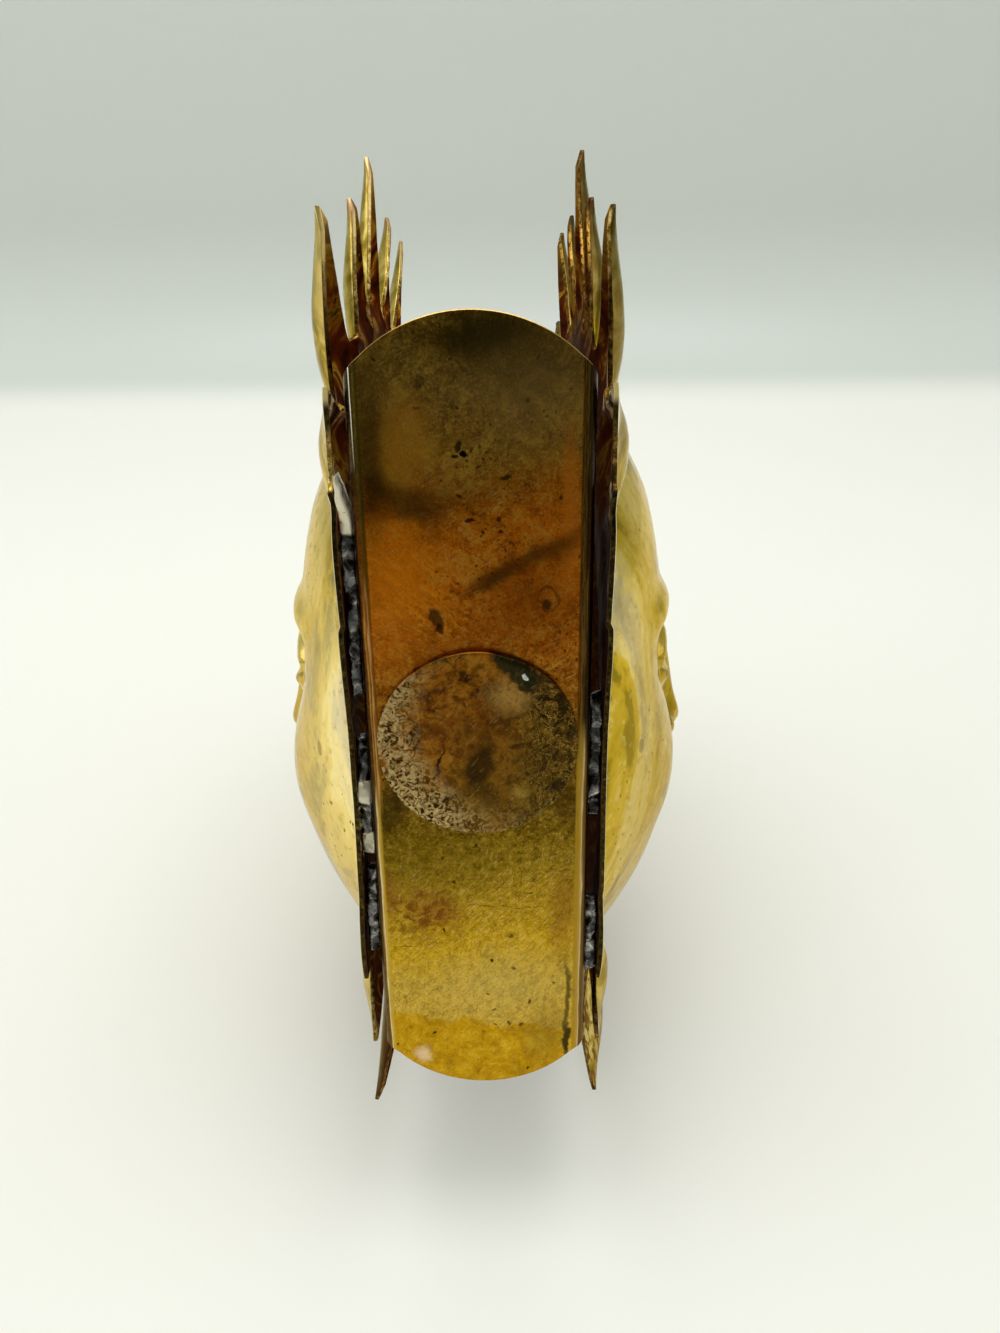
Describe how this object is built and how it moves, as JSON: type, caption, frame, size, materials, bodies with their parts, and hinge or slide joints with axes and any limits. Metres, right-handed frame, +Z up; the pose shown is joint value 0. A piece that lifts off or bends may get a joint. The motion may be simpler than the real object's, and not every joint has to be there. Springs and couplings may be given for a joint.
{
  "type": "hood ornament",
  "caption": "Double-faced sun ornament: pressed brass masks with pointed rays, soldered back to back on a folded base channel with a round mounting disc.",
  "frame": {"origin": "bottom centre of the ornament's box, on the surface that it stands on", "axes": "+Z up, +X to the right and the base channel facing -Y; the ornament leans back 15 degrees on its long rays"},
  "size_m": [0.103, 0.1982, 0.2206],
  "materials": {
    "mask_brass": "polished, lightly worn",
    "channel_brass": "heat-tinted and tarnished",
    "disc_brass": "patchily tinned, scratched",
    "solder": "dull grey, lumpy"
  },
  "bodies": {
    "root": {"base_channel": "channel_brass", "left_mask": "mask_brass", "right_mask": "mask_brass", "mounting_disc": "disc_brass", "disc_solder": "solder", "left_upper_solder": "solder", "left_middle_solder": "solder", "left_lower_solder": "solder", "right_middle_solder": "solder", "right_lower_solder": "solder"}
  },
  "joints": []
}
